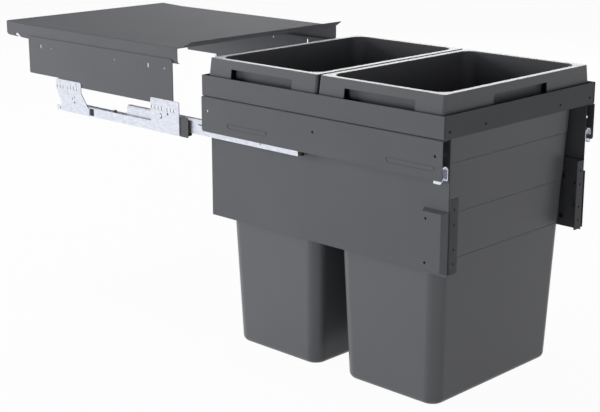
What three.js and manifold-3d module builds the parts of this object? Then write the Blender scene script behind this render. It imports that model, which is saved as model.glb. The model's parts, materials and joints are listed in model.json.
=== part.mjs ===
// Pull-out waste unit for a base cabinet: a steel carrier with two lift-out bins on full-extension
// runners, under a sheet-metal lid that stays in the cabinet. It is shown pulled out to its stop.
// Millimetres. +X right, +Y into the cabinet, +Z up. The origin is on the cabinet's centre line,
// in the plane of its front edges, level with the top edge of the carrier.
import * as THREE from "three";
import { mergeVertices } from "three/addons/utils/BufferGeometryUtils.js";
import Module from "manifold-3d";

const wasm = await Module();
wasm.setup();

// ---- driving dimensions ----

// Cabinet and motion
const INNER_WIDTH = 414; // clear width between the cabinet's side boards
const TRAVEL = 565; // pull-out of the carrier
const CATCH_TRAVEL = 34; // stroke of the soft-close catch

// Sheet thicknesses
const BRACKET_SHEET = 1.5;
const PLATE_SHEET = 1.5;
const COVER_SHEET = 1.5;
const CARRIER_SHEET = 1.2;
const LID_SHEET = 1.2;
const RAIL_SHEET = 1.3;
const DOOR_SHEET = 2;

// Clearances
const SEAT_GAP = 0.3; // between pieces that rest on or against each other
const SLIDE_GAP = 0.5; // between fixed and sliding sheets
const SHEET_BEND = 2.2; // outer bend radius of the sheet parts

// Bins
const BIN_LENGTH = 249.5; // rim, along the pull-out
const BIN_GAP = 5.5; // between the two rims
const BIN_HEIGHT = 510;
const BIN_WALL = 2.5;
const BIN_FLOOR = 3;
const RIM_HEIGHT = 29; // rim above the carrier's top edge
const RIM_WIDTH = 12;
const RIM_ROUND = 2;
const RIM_CORNER = 5; // outer; the opening has the body's corners
const SKIRT_SPREAD_X = 8; // how far the skirt leans out at its foot
const SKIRT_SPREAD_Y = 2.4;
const SKIRT_CLEARANCE = 2.8; // skirt foot to the carrier's band
const BODY_TAPER_X = 20; // how far each wall leans in over the bin's height
const BODY_TAPER_Y = 17.8;
const BODY_CORNER = 24;
const FOOT_ROUND = 10;
const STACK_LINES = [110, 190, 265]; // below the rim
const STACK_STEP = 0.5;
const HAND_SLOT_LENGTH = 142;
const HAND_SLOT_HEIGHT = 25;
const HAND_SLOT_BELOW_RIM = 14.2;

// Carrier
const BAND_HEIGHT = 36;
const LEDGE_WIDTH = 18.5;
const WALL_DEPTH = 250; // foot of the side wall below the carrier's top edge
const FRONT_SPACE = 8.75; // front plate to the first rim
const REAR_SPACE = 8.75; // last rim to the rear plate
const CROSS_SHEET = 1.5;
const CROSS_LEDGE = 12;
const CROSS_RETURN = 13;
const CROSS_BEND = 2.4; // between the plate and its returns
const COVER_DEPTH = 97.5; // foot of the rail cover below the carrier's top edge
const COVER_FLANGE = 15;
const COVER_HOLE_DEPTH = 61;
const COVER_HOLE_INSET = 14;
const BEAD_LENGTH = 94;
const BEAD_WIDTH = 9;
const BEAD_GROOVE = 1.5;
const BEAD_CUT = 0.6;
const BEAD_DEPTH = 80;
const CROSS_HOLE_INSET = 13; // the outer holes, from the plate's ends
const CROSS_HOLE_DEPTH = 25;
const SMALL_HOLE = 2.2; // radius

// Door brackets
const DOOR_TOP = 129; // below the carrier's top edge
const DOOR_HEIGHT = 118;
const DOOR_FLANGE = 20;
const DOOR_WEB = 55;
const DOOR_HOLES = [17, 40, 79, 101.5]; // below the bracket's top
const ADJUSTER_SETBACK = 14; // of the two round openings in its web
const ADJUSTER_RADIUS = 3.6;
const CAP_TOP = 148;
const CAP_HEIGHT = 98;
const CAP_LENGTH = 47;
const CAP_THICKNESS = 8.7;
const CAP_WALL = 1.8;
const CAP_RIM = 2; // height of its upright edge, below the bevels
const CAP_MOUTH = 1.5; // gap to the side wall along its front and top
const CAP_BOSS = 5; // radius
const CAP_FRONT_BEVEL = 9;
const CAP_EDGE_BEVEL = 3;
const CAP_SCREW_SETBACK = 38;
const CAP_SCREW_INSET = 14;
const SCREW_RADIUS = 1.9;
const SCREW_HEAD_RADIUS = 3.6;
const SCREW_HEAD = 2;

// Lid
const LID_LEVEL = 39;
const LID_FRONT = 17.5; // its front bend, behind the cabinet's front edge
const LID_OVERHANG = 3; // past the rear of the closed carrier
const LID_FLANGE = 29;
const LID_CURL = 8; // radius of the flange's foot, which turns inward
const LID_LIP_FORWARD = 15.5;
const LID_LIP_RISE = 9.5;
const LID_LIP_LEFT = [11.7, 20.7]; // how far the lip's ends are cut back, at the bend and at the tip
const LID_LIP_RIGHT = [1.2, 3.7];
const LID_REAR_STRIP = 60;
const LID_REAR_RISE = 2.2;
const LID_NOTCH = 16;
const LID_NOTCH_HEIGHT = 10;
const LID_NOTCH_FROM_REAR = 34;
const LID_CORNER = 6;

// Side plates that carry the lid
const PLATE_FRONT = 29;
const PLATE_LENGTH = 422.5;
const PLATE_TOP = 18;
const PLATE_FOOT = -64.5;
const PLATE_STEP = 11;
const PLATE_STEP_FROM_REAR = 94;
const PLATE_TAB_LENGTH = 85;
const PLATE_TAB_REACH = 9;
const PLATE_TAB_FRONT = 68; // first tab, from the plate's front
const PLATE_TAB_REAR = 22; // second tab, from the plate's rear
const PLATE_SLOT = [4, 9];
const PLATE_SLOT_FRONT = 65.5; // from the plate's front
const PLATE_SLOT_REAR = 38.5; // from its rear
const PLATE_HOLES_FRONT = [22, 161];
const PLATE_HOLE_REAR = 70.5;

// Runner brackets
const BRACKET_TOP = -54.9;
const BRACKET_FOOT = -115;
const FRONT_BRACKET_SETBACK = 12.5;
const FRONT_BRACKET_LENGTH = 76;
const REAR_BRACKET_SETBACK = 290;
const REAR_BRACKET_LENGTH = 77;
const REAR_BRACKET_SHIFT = 23; // how far its foot lies in front of its top
const REAR_BRACKET_WAIST = 20; // below its top
const REAR_BRACKET_HIP = 43;
const FRONT_SLOT_DEPTH = 17; // of the row of slots, below the bracket's top
const REAR_SLOT_DEPTH = 13;
const SLOT_INSET = 12;
const SLOT_PITCH = 9;
const SLOT_SPLIT = 5.5; // added between the two groups of the row
const SLOT_SIZE = [4.2, 8];
const FRONT_SLOTS = [3, 4];
const REAR_SLOTS = [4, 3];
const BRACKET_HOLE = 2.4; // radius
const FRONT_BRACKET_HOLE = [30, 24.7]; // behind the bracket's front and below its top
const FRONT_BRACKET_TAB = [48.5, 30.6];
const REAR_BRACKET_HOLE = [20, 39.4];
const REAR_BRACKET_SLOTS = [
  [39.5, 24.7],
  [27, 32.9],
  [20, 29.1],
];
const SHORT_SLOT = [3, 5];
const PUNCHED_TAB = [7.5, 10];
const PUNCHED_CUT = 2;
const PUNCHED_ROUND = 4; // outer corners of the cut
const RIVET_RADIUS = 2.5;
const RIVET_INSET = 14;
const RIVET_DROP = 4.8;

// Runners
const RAIL_FRONT = 13;
const RAIL_LENGTH = 355.5;
const RAIL_WIDTH = 20.1;
const RAIL_FOOT = -115.5;
const RAIL_TOP = -98.2;
const RAIL_INNER_TOP = -100.3;
const RAIL_LIP = 2.9;
const RAIL_TAIL = 22; // stretch at the rear where the outer wall is cut down
const RAIL_TAIL_HEIGHT = 10;
const RAIL_HOLE = 1.6; // radius
const CLIP_LENGTH = 12;
const CLIP_SETBACK = 12.5; // in front of the rear bracket's foot
const CLIP_EDGE = 2; // left of the rail's wall above and below the clip
const STUD_LENGTH = 8;
const STUD_HEIGHT = 5.5;
const END_BLOCK_TOP = -80;
const END_BLOCK_FRONT = -8.6;
const END_BLOCK_FOOT_LENGTH = 10;
const END_BLOCK_WALL = 1.2;
const MIDDLE_CLOSED_FRONT = 14.5;
const MIDDLE_LENGTH = 432;
const MIDDLE_TOP = -80.6;
const MIDDLE_FOOT = -107;
const MIDDLE_WIDTH = 10.2;
const MIDDLE_NECK = 7.2;
const MIDDLE_STEP = -85;
const MIDDLE_SLOT = [14, 2];
const MIDDLE_SLOT_SETBACK = 232;
const MIDDLE_SLOT_DROP = 4.3; // below the step
const MIDDLE_HOLE_SETBACK = 86;
const MIDDLE_HOLE_DROP = 15;
const BUMPER_LENGTH = 6; // in front of the middle rail
const DRAWER_RAIL_INSET = 3; // from the carrier's front and rear
const DRAWER_RAIL_TOP = -77;
const DRAWER_RAIL_WIDTH = 16.7;
const DRAWER_RAIL_SHOULDER = 5;
const DRAWER_RAIL_OUTER_FOOT = -89;
const DRAWER_RAIL_INNER_FOOT = -99.5;
const DRAWER_RAIL_LIP = 3;
const LATCH_SETBACK = 1; // behind the drawer rail's front end
const LATCH_STRIP = 3.5;
const LATCH_ARM = 13;
const LATCH_PEAK = -94;
const LATCH_SHEET = 1;
const LATCH_ARM_HEIGHT = 4.5;
const LATCH_ARM_WIDTH = 1.8;
const BALL_CAGE_LENGTH = 150;
const BALL_CAGE_SETBACK = 30; // behind the middle rail's front
const BALL_PLACES = [0.14, 0.32, 0.5, 0.68, 0.86]; // shares of the cage's length
const BALL_HOLE = 1.6; // radius
const ROLLER_CAGE_LENGTH = 76;
const CATCH_FRONT = 16;
const CATCH_LENGTH = 42;
const CATCH_NOSE = 19.4;
const DAMPER_LENGTH = 38;
const DAMPER_ROD = 10;
const DAMPER_INSET = 3; // from the rail's rear end
const SLIDER_PLAY = 0.4; // over the pieces that slide in the rail

// ---- derived places ----

const wallX = INNER_WIDTH / 2; // cabinet side board
const bracketInnerX = wallX - BRACKET_SHEET;
const plateInnerX = bracketInnerX - PLATE_SHEET;
const lidOuterX = plateInnerX - SEAT_GAP;
const coverOuterX = plateInnerX - SLIDE_GAP;
const coverInnerX = coverOuterX - COVER_SHEET;
const bandOuterX = coverInnerX - SLIDE_GAP;
const bandInnerX = bandOuterX - CARRIER_SHEET;
const sideWallOuterX = bandOuterX - LEDGE_WIDTH;
const sideWallInnerX = sideWallOuterX - CARRIER_SHEET;
const carrierLength = FRONT_SPACE + 2 * BIN_LENGTH + BIN_GAP + REAR_SPACE;
const ledgeTop = -BAND_HEIGHT + CARRIER_SHEET;
const rimHalfX = bandInnerX - SKIRT_CLEARANCE - SKIRT_SPREAD_X;
const rimHalfY = BIN_LENGTH / 2;
const skirtFoot = ledgeTop + SEAT_GAP;
const lidRear = carrierLength + LID_OVERHANG;
const lidFoot = LID_LEVEL - LID_FLANGE;
const plateRear = PLATE_FRONT + PLATE_LENGTH;
const railOuterX = bracketInnerX;
const railInnerX = railOuterX - RAIL_WIDTH;
const railBedTop = RAIL_FOOT + RAIL_SHEET;
const drawerRailOuterX = coverInnerX - SEAT_GAP;
const drawerRailInnerX = drawerRailOuterX - DRAWER_RAIL_WIDTH;
const middleInnerX = drawerRailInnerX + DRAWER_RAIL_LIP + RAIL_SHEET;
const middleOuterX = middleInnerX + MIDDLE_WIDTH;
const middleNeckX = middleInnerX + MIDDLE_NECK;

const materials = {
  coat: ["#62646a", 0.5, 0.25],
  bin: ["#5c5e64", 0.55, 0],
  zinc: ["#c9ccd2", 0.35, 0.9],
  black: ["#17181a", 0.6, 0],
};

// ---- shapes and solids ----

const sides = { left: -1, right: 1 };

// A closed polygon, or one of the rounded outlines used for plates and cut-outs.
function polygon(points) {
  return new THREE.Shape(points.map(([u, v]) => new THREE.Vector2(u, v)));
}

// The points of an arc, its end left to the next one.
function arc(u, v, radius, from, turn, steps) {
  return Array.from({ length: steps }, (_, k) => {
    const angle = from + (turn * k) / steps;
    return [u + radius * Math.cos(angle), v + radius * Math.sin(angle)];
  });
}

function roundedRect(u0, v0, u1, v1, radius, steps = 3) {
  const r = Math.min(radius, 0.499 * (u1 - u0), 0.499 * (v1 - v0));
  const corners = [
    [u1 - r, v1 - r],
    [u0 + r, v1 - r],
    [u0 + r, v0 + r],
    [u1 - r, v0 + r],
  ];
  const quarter = Math.PI / 2;
  return polygon(
    corners.flatMap(([u, v], k) => {
      const points = arc(u, v, r, k * quarter, quarter, steps);
      const end = (k + 1) * quarter;
      return [...points, [u + r * Math.cos(end), v + r * Math.sin(end)]];
    }),
  );
}

function disc(u, v, radius) {
  return polygon(arc(u, v, radius, 0, 2 * Math.PI, 12));
}

function centredSlot(u, v, width, height, steps = 2) {
  const end = Math.min(width, height) / 2;
  return roundedRect(u - width / 2, v - height / 2, u + width / 2, v + height / 2, end, steps);
}

// The section of a folded sheet: the path runs along one face, the sheet lies on its left,
// and each corner of the path is a bend of the given radius, or of its own third value.
function foldedSheet(path, thickness, bend = SHEET_BEND, steps = 3) {
  const points = path.map(([u, v]) => new THREE.Vector2(u, v));
  const left = (d) => new THREE.Vector2(-d.y, d.x);
  const face = [];
  points.forEach((here, i) => {
    const into = i > 0 ? here.clone().sub(points[i - 1]).normalize() : null;
    const out = i < points.length - 1 ? points[i + 1].clone().sub(here).normalize() : null;
    if (!into || !out) {
      face.push([here, into || out]);
      return;
    }
    const turn = Math.atan2(into.cross(out), into.dot(out));
    const side = Math.sign(turn);
    const radius = path[i][2] || bend;
    const start = here.clone().addScaledVector(into, -radius * Math.tan(Math.abs(turn) / 2));
    const centre = start.addScaledVector(left(into), side * radius);
    const facets = Math.max(steps, Math.round(radius * 0.7));
    for (let k = 0; k <= facets; k++) {
      const direction = into.clone().rotateAround(new THREE.Vector2(), (turn * k) / facets);
      face.push([centre.clone().addScaledVector(left(direction), -side * radius), direction]);
    }
  });
  const back = face.map(([p, d]) => p.clone().addScaledVector(left(d), thickness)).reverse();
  return new THREE.Shape([...face.map(([p]) => p), ...back]);
}

function solidOf(geometry) {
  const plain = geometry.clone();
  plain.deleteAttribute("normal");
  plain.deleteAttribute("uv");
  const merged = mergeVertices(plain, 1e-4);
  const mesh = new wasm.Mesh({
    numProp: 3,
    vertProperties: merged.attributes.position.array,
    triVerts: new Uint32Array(merged.index.array),
  });
  return new wasm.Manifold(mesh);
}

function geometryOf(solid) {
  const mesh = solid.getMesh();
  const geometry = new THREE.BufferGeometry();
  geometry.setAttribute("position", new THREE.BufferAttribute(mesh.vertProperties, 3));
  geometry.setIndex(new THREE.BufferAttribute(mesh.triVerts, 1));
  const flat = geometry.toNonIndexed();
  flat.computeVertexNormals();
  return flat;
}

// How an outline's two axes and its depth lie in space: (y, z) along x, (x, z) along y, (x, y) along z.
const xAxis = new THREE.Vector3(1, 0, 0);
const yAxis = new THREE.Vector3(0, 1, 0);
const zAxis = new THREE.Vector3(0, 0, 1);
const prismFrames = {
  x: new THREE.Matrix4().makeBasis(yAxis, zAxis, xAxis),
  y: new THREE.Matrix4().makeBasis(xAxis, zAxis, yAxis.clone().negate()),
  z: new THREE.Matrix4(),
};

function prism(shape, axis, from, to) {
  const geometry = new THREE.ExtrudeGeometry(shape, { depth: to - from, bevelEnabled: false });
  geometry.applyMatrix4(prismFrames[axis]);
  const start = axis === "y" ? to : from;
  geometry.translate(axis === "x" ? start : 0, axis === "y" ? start : 0, axis === "z" ? start : 0);
  return solidOf(geometry);
}

function joined(solids) {
  return solids.reduce((all, next) => all.add(next));
}

function cut(solid, tools) {
  return tools.length ? solid.subtract(joined(tools)) : solid;
}

// A round or slotted tool that passes through a sheet standing across X.
function throughX(shape) {
  return prism(shape, "x", sideWallInnerX - 20, wallX + 10);
}

function mirrored(geometry) {
  const flipped = geometry.clone().scale(-1, 1, 1);
  const p = flipped.attributes.position.array;
  for (let i = 0; i < p.length; i += 9) {
    for (let k = 0; k < 3; k++) [p[i + k], p[i + 3 + k]] = [p[i + 3 + k], p[i + k]];
  }
  flipped.computeVertexNormals();
  return flipped;
}

function addMesh(group, name, geometry, finish) {
  const [color, roughness, metalness] = materials[finish];
  const mesh = new THREE.Mesh(geometry, new THREE.MeshStandardMaterial({ color, roughness, metalness }));
  mesh.name = name;
  group.add(mesh);
  return mesh;
}

// A piece drawn once, on the right-hand side, and added on both.
function addPair(group, name, solid, finish) {
  const right = geometryOf(solid);
  addMesh(group, "right_" + name, right, finish);
  addMesh(group, "left_" + name, mirrored(right), finish);
}

// ---- bins ----

// A rounded rectangle as a ring of points, and a skin over a run of such rings.
function ring(halfX, halfY, radius, z) {
  const steps = 6;
  const points = [];
  const corners = [
    [1, 1],
    [-1, 1],
    [-1, -1],
    [1, -1],
  ];
  corners.forEach(([sx, sy], quarter) => {
    for (let k = 0; k <= steps; k++) {
      const angle = ((quarter + k / steps) * Math.PI) / 2;
      const x = sx * (halfX - radius) + radius * Math.cos(angle);
      const y = sy * (halfY - radius) + radius * Math.sin(angle);
      points.push([x, y, z]);
    }
  });
  return points;
}

function skin(rings) {
  const count = rings[0].length;
  const positions = rings.flat(2);
  const triangles = [];
  for (let r = 0; r + 1 < rings.length; r++) {
    for (let k = 0; k < count; k++) {
      const a = r * count + k;
      const b = r * count + ((k + 1) % count);
      triangles.push(a, b + count, b, a, a + count, b + count);
    }
  }
  const first = positions.length / 3;
  positions.push(0, 0, rings[0][0][2], 0, 0, rings[rings.length - 1][0][2]);
  for (let k = 0; k < count; k++) {
    const next = (k + 1) % count;
    triangles.push(first, k, next);
    triangles.push(first + 1, (rings.length - 1) * count + next, (rings.length - 1) * count + k);
  }
  const geometry = new THREE.BufferGeometry();
  geometry.setAttribute("position", new THREE.Float32BufferAttribute(positions, 3));
  geometry.setIndex(triangles);
  return solidOf(geometry);
}

// Half sizes of the bin's outer wall at a depth below the rim.
function bodyHalf(depth) {
  const steps = STACK_STEP * STACK_LINES.filter((line) => depth > line).length;
  const share = depth / BIN_HEIGHT;
  return {
    x: rimHalfX - RIM_WIDTH + BIN_WALL - BODY_TAPER_X * share - steps,
    y: rimHalfY - RIM_WIDTH + BIN_WALL - BODY_TAPER_Y * share - steps,
  };
}

function makeBin() {
  const z = (depth) => RIM_HEIGHT - depth;
  const bodyRing = (depth, inset, corner) => {
    const half = bodyHalf(depth);
    return ring(half.x - inset, half.y - inset, corner - inset, z(depth));
  };
  const rimRing = (inset, depth) => ring(rimHalfX - inset, rimHalfY - inset, RIM_CORNER - inset, z(depth));
  const skirtRing = (inset) =>
    ring(
      rimHalfX + SKIRT_SPREAD_X - inset,
      rimHalfY + SKIRT_SPREAD_Y - inset,
      RIM_CORNER - inset,
      skirtFoot,
    );
  const innerRound = FOOT_ROUND - BIN_WALL;
  const floorDepth = BIN_HEIGHT - BIN_FLOOR;
  const soft = RIM_ROUND * (1 - Math.SQRT1_2);
  const innerCorner = BODY_CORNER - BIN_WALL;
  const innerRim = (inset, depth) => {
    const half = bodyHalf(0);
    const out = inset - BIN_WALL;
    return ring(half.x + out, half.y + out, innerCorner, z(depth));
  };
  const stackRings = STACK_LINES.flatMap((line) => [
    bodyRing(line, 0, BODY_CORNER),
    bodyRing(line + STACK_STEP, 0, BODY_CORNER),
  ]);
  const footRings = [0, 1, 2, 3].map((k) => {
    const angle = ((k / 3) * Math.PI) / 2;
    const rise = FOOT_ROUND * (1 - Math.sin(angle));
    return bodyRing(BIN_HEIGHT - rise, FOOT_ROUND * (1 - Math.cos(angle)), BODY_CORNER);
  });
  return skin([
    bodyRing(floorDepth, BIN_WALL + innerRound, BODY_CORNER),
    bodyRing(floorDepth - innerRound * 0.3, BIN_WALL + innerRound * 0.3, BODY_CORNER),
    bodyRing(floorDepth - innerRound, BIN_WALL, BODY_CORNER),
    innerRim(0, RIM_ROUND),
    innerRim(soft, soft),
    innerRim(RIM_ROUND, 0),
    rimRing(RIM_ROUND, 0),
    rimRing(soft, soft),
    rimRing(0, RIM_ROUND),
    skirtRing(0),
    skirtRing(BIN_WALL),
    rimRing(BIN_WALL, BIN_WALL),
    bodyRing(BIN_WALL, 0, BODY_CORNER),
    ...stackRings,
    ...footRings,
  ]);
}

// Finger slots through the skirt, one in each side.
function handSlots() {
  const top = RIM_HEIGHT - HAND_SLOT_BELOW_RIM;
  const half = HAND_SLOT_LENGTH / 2;
  const slot = polygon([
    [-half, top - HAND_SLOT_HEIGHT],
    [half, top - HAND_SLOT_HEIGHT],
    [half, top],
    [-half, top],
  ]);
  const body = bodyHalf(0);
  const reachX = rimHalfX + 2 * SKIRT_SPREAD_X;
  const reachY = rimHalfY + 2 * SKIRT_SPREAD_Y;
  const innerX = body.x + BIN_WALL;
  const innerY = body.y + BIN_WALL;
  return [
    prism(slot, "x", innerX, reachX),
    prism(slot, "x", -reachX, -innerX),
    prism(slot, "y", innerY, reachY),
    prism(slot, "y", -reachY, -innerY),
  ];
}

function addBins(carrier) {
  const geometry = geometryOf(cut(makeBin(), handSlots()));
  const firstCentre = FRONT_SPACE + rimHalfY;
  ["front_bin", "rear_bin"].forEach((name, i) => {
    addMesh(carrier, name, geometry, "bin").position.y = firstCentre + i * (BIN_LENGTH + BIN_GAP);
  });
}

// ---- carrier ----

function sidePanel() {
  const section = foldedSheet(
    [
      [sideWallOuterX, -WALL_DEPTH],
      [sideWallOuterX, -BAND_HEIGHT],
      [bandOuterX, -BAND_HEIGHT],
      [bandOuterX, 0],
    ],
    CARRIER_SHEET,
  );
  const ends = CROSS_SHEET + SEAT_GAP;
  const panel = prism(section, "y", 0, carrierLength);
  // Only the band reaches the carrier's ends, beside the cross plates.
  const behindBand = polygon([
    [sideWallInnerX - 1, 1],
    [sideWallInnerX - 1, -WALL_DEPTH - 1],
    [sideWallOuterX + 1, -WALL_DEPTH - 1],
    [bandInnerX, -BAND_HEIGHT - 1],
    [bandInnerX, 1],
  ]);
  return cut(panel, [
    prism(behindBand, "y", -1, ends),
    prism(behindBand, "y", carrierLength - ends, carrierLength + 1),
    ...capScrewPlaces().map(([y, z]) => throughX(disc(y, z, SMALL_HOLE))),
  ]);
}

// A groove of even width along the outline of a slot, sunk to the plane X = from.
function groove([u, v, width, height], from) {
  const inset = 2 * BEAD_GROOVE;
  const outer = centredSlot(u, v, width, height, 4);
  const inner = centredSlot(u, v, width - inset, height - inset, 4);
  return prism(outer, "x", from, wallX).subtract(prism(inner, "x", from - 1, wallX + 1));
}

function railCover() {
  const top = -BAND_HEIGHT - SEAT_GAP;
  const section = foldedSheet(
    [
      [coverOuterX, -COVER_DEPTH],
      [coverOuterX, top],
      [coverOuterX - COVER_FLANGE, top],
    ],
    COVER_SHEET,
  );
  const sheet = prism(section, "y", 0, carrierLength);
  const outline = prism(roundedRect(0, -COVER_DEPTH, carrierLength, top + COVER_SHEET, 4), "x", 0, wallX);
  const holes = [COVER_HOLE_INSET, carrierLength / 2, carrierLength - COVER_HOLE_INSET];
  const beads = [BEAD_LENGTH / 2 + COVER_HOLE_INSET, carrierLength - 1.18 * BEAD_LENGTH];
  return cut(sheet.intersect(outline), [
    ...holes.map((y) => throughX(disc(y, -COVER_HOLE_DEPTH, SMALL_HOLE))),
    ...beads.map((y) => groove([y, -BEAD_DEPTH, BEAD_LENGTH, BEAD_WIDTH], coverOuterX - BEAD_CUT)),
  ]);
}

// A plate across one end of the carrier, with a ledge under the bins and a return inside each band.
function crossPlate() {
  const ledgeHalf = sideWallInnerX - SEAT_GAP;
  const edge = bandInnerX - SEAT_GAP;
  const wrapped = foldedSheet(
    [
      [-edge, CROSS_RETURN],
      [-edge, 0],
      [edge, 0],
      [edge, CROSS_RETURN],
    ],
    CROSS_SHEET,
    CROSS_BEND,
  );
  // Seen from the side, the returns are lower than the face.
  const profile = polygon([
    [-1, -BAND_HEIGHT],
    [CROSS_SHEET, -BAND_HEIGHT],
    [CROSS_SHEET, 3 - BAND_HEIGHT],
    [CROSS_RETURN, 5 - BAND_HEIGHT],
    [CROSS_RETURN, -5],
    [CROSS_SHEET, -3],
    [CROSS_SHEET, 0],
    [-1, 0],
  ]);
  const face = prism(wrapped, "z", -BAND_HEIGHT, 0).intersect(prism(profile, "x", -wallX, wallX));
  const ledge = prism(
    foldedSheet(
      [
        [0, -BAND_HEIGHT / 2],
        [0, -BAND_HEIGHT],
        [CROSS_LEDGE, -BAND_HEIGHT],
      ],
      CARRIER_SHEET,
    ),
    "x",
    -ledgeHalf,
    ledgeHalf,
  );
  const holes = [edge - CROSS_HOLE_INSET, edge / 2].flatMap((x) => [x, -x]).map((x) =>
    prism(disc(x, -CROSS_HOLE_DEPTH, SMALL_HOLE), "y", -1, CROSS_SHEET + 1),
  );
  return cut(face.add(ledge), holes);
}

function drawerRail() {
  const shoulder = DRAWER_RAIL_SHOULDER;
  const outer = drawerRailOuterX;
  const inner = drawerRailInnerX;
  const section = foldedSheet(
    [
      [outer, DRAWER_RAIL_OUTER_FOOT],
      [outer - 0.6, DRAWER_RAIL_TOP - shoulder],
      [outer - shoulder, DRAWER_RAIL_TOP],
      [inner + shoulder, DRAWER_RAIL_TOP],
      [inner, DRAWER_RAIL_TOP - shoulder],
      [inner, DRAWER_RAIL_INNER_FOOT],
      [inner + DRAWER_RAIL_LIP, DRAWER_RAIL_INNER_FOOT],
    ],
    RAIL_SHEET,
    1.6,
    2,
  );
  return prism(section, "y", DRAWER_RAIL_INSET, carrierLength - DRAWER_RAIL_INSET);
}

// The spring clip that locks the carrier on the front end of its rail: a bent strip across
// the rail's mouth, with an arm along its outer side.
function railLatch() {
  const seat = drawerRailInnerX + RAIL_SHEET + SEAT_GAP;
  const foot = DRAWER_RAIL_INNER_FOOT + RAIL_SHEET + SEAT_GAP + LATCH_SHEET;
  const armTop = -COVER_DEPTH - SLIDE_GAP;
  const armFoot = armTop - LATCH_ARM_HEIGHT;
  const armX = coverInnerX - LATCH_ARM_WIDTH;
  const section = foldedSheet(
    [
      [armX + 1.4, armFoot + 1],
      [seat + 6.9, LATCH_PEAK],
      [seat + 3.2, foot],
      [seat, foot],
    ],
    LATCH_SHEET,
    1.3,
    2,
  );
  const front = DRAWER_RAIL_INSET + LATCH_SETBACK;
  const strip = prism(section, "y", front, front + LATCH_STRIP);
  const armShape = roundedRect(front, armFoot, front + LATCH_ARM, armTop, 1);
  return strip.add(prism(armShape, "x", armX, coverInnerX));
}

function capScrewPlaces() {
  const top = -CAP_TOP - CAP_SCREW_INSET;
  const foot = -CAP_TOP - CAP_HEIGHT + CAP_SCREW_INSET;
  return [
    [CAP_SCREW_SETBACK, top],
    [CAP_SCREW_SETBACK, foot],
  ];
}

// The angle that the cabinet's door is screwed to.
function doorBracket() {
  const outer = sideWallInnerX - SEAT_GAP;
  const section = foldedSheet(
    [
      [outer, DOOR_WEB],
      [outer, 0],
      [outer - DOOR_FLANGE, 0],
    ].reverse(),
    DOOR_SHEET,
    SHEET_BEND + 0.4,
  );
  const angle = prism(section, "z", -DOOR_TOP - DOOR_HEIGHT, -DOOR_TOP);
  const flangeHoles = DOOR_HOLES.map((drop) =>
    prism(disc(outer - DOOR_FLANGE / 2, -DOOR_TOP - drop, SMALL_HOLE), "y", -1, DOOR_SHEET + 1),
  );
  const adjusters = [DOOR_HOLES[1], DOOR_HOLES[2]].map((drop) =>
    throughX(disc(ADJUSTER_SETBACK, -DOOR_TOP - drop, ADJUSTER_RADIUS)),
  );
  const screws = capScrewPlaces().map(([y, z]) => throughX(disc(y, z, SMALL_HOLE)));
  return cut(angle, [...flangeHoles, ...adjusters, ...screws]);
}

// A bevelled block between two rectangles that face each other along X.
function bevelledBlock(x0, base, x1, face) {
  const corners = ([y0, z0, y1, z1], x) => [
    [x, y0, z0],
    [x, y1, z0],
    [x, y1, z1],
    [x, y0, z1],
  ];
  const geometry = new THREE.BufferGeometry();
  const positions = [...corners(base, x0), ...corners(face, x1)].flat();
  geometry.setAttribute("position", new THREE.Float32BufferAttribute(positions, 3));
  const around = [0, 1, 2, 3].flatMap((k) => {
    const next = (k + 1) % 4;
    return [k, next, next + 4, k, next + 4, k + 4];
  });
  geometry.setIndex([0, 2, 1, 0, 3, 2, 4, 5, 6, 4, 6, 7, ...around]);
  return solidOf(geometry);
}

// A hollow cap on two bosses. It stands off the side wall along its front and its top.
function bracketCap() {
  const base = sideWallOuterX + SEAT_GAP;
  const foot = -CAP_TOP - CAP_HEIGHT;
  const edge = CAP_EDGE_BEVEL;
  const wall = CAP_WALL;
  const rimEnd = base + CAP_RIM;
  const crownEnd = base + CAP_THICKNESS;
  const outline = [0, foot, CAP_LENGTH, -CAP_TOP];
  const rim = bevelledBlock(base, outline, rimEnd, outline);
  const crown = bevelledBlock(rimEnd, outline, crownEnd, [
    CAP_FRONT_BEVEL,
    foot + edge,
    CAP_LENGTH - edge,
    -CAP_TOP - edge,
  ]);
  const inside = [wall, foot + wall, CAP_LENGTH - wall, -CAP_TOP - wall];
  const hollow = bevelledBlock(base - 1, inside, crownEnd - wall, [
    CAP_FRONT_BEVEL + wall / 2,
    foot + edge + wall / 2,
    CAP_LENGTH - edge - wall / 2,
    -CAP_TOP - edge - wall / 2,
  ]);
  const mouths = [
    roundedRect(-1, foot - 1, wall + 1, -CAP_TOP + 1, 0.1, 1),
    roundedRect(-1, -CAP_TOP - wall - 1, CAP_LENGTH - wall, -CAP_TOP + 1, 0.1, 1),
  ].map((shape) => prism(shape, "x", base - 1, base + CAP_MOUTH));
  const shell = cut(rim.add(crown), [hollow, ...mouths]);
  const places = capScrewPlaces();
  const bosses = places.map(([y, z]) => prism(disc(y, z, CAP_BOSS), "x", base, crownEnd - wall / 2));
  const holes = places.map(([y, z]) => throughX(disc(y, z, SMALL_HOLE)));
  return cut(joined([shell, ...bosses]), holes);
}

function capScrew([y, z]) {
  const headFrom = sideWallInnerX - SEAT_GAP - DOOR_SHEET - SEAT_GAP - SCREW_HEAD;
  const shank = prism(disc(y, z, SCREW_RADIUS), "x", headFrom, sideWallOuterX + CAP_THICKNESS - 2);
  const head = prism(disc(y, z, SCREW_HEAD_RADIUS), "x", headFrom, headFrom + SCREW_HEAD);
  return shank.add(head);
}

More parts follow.
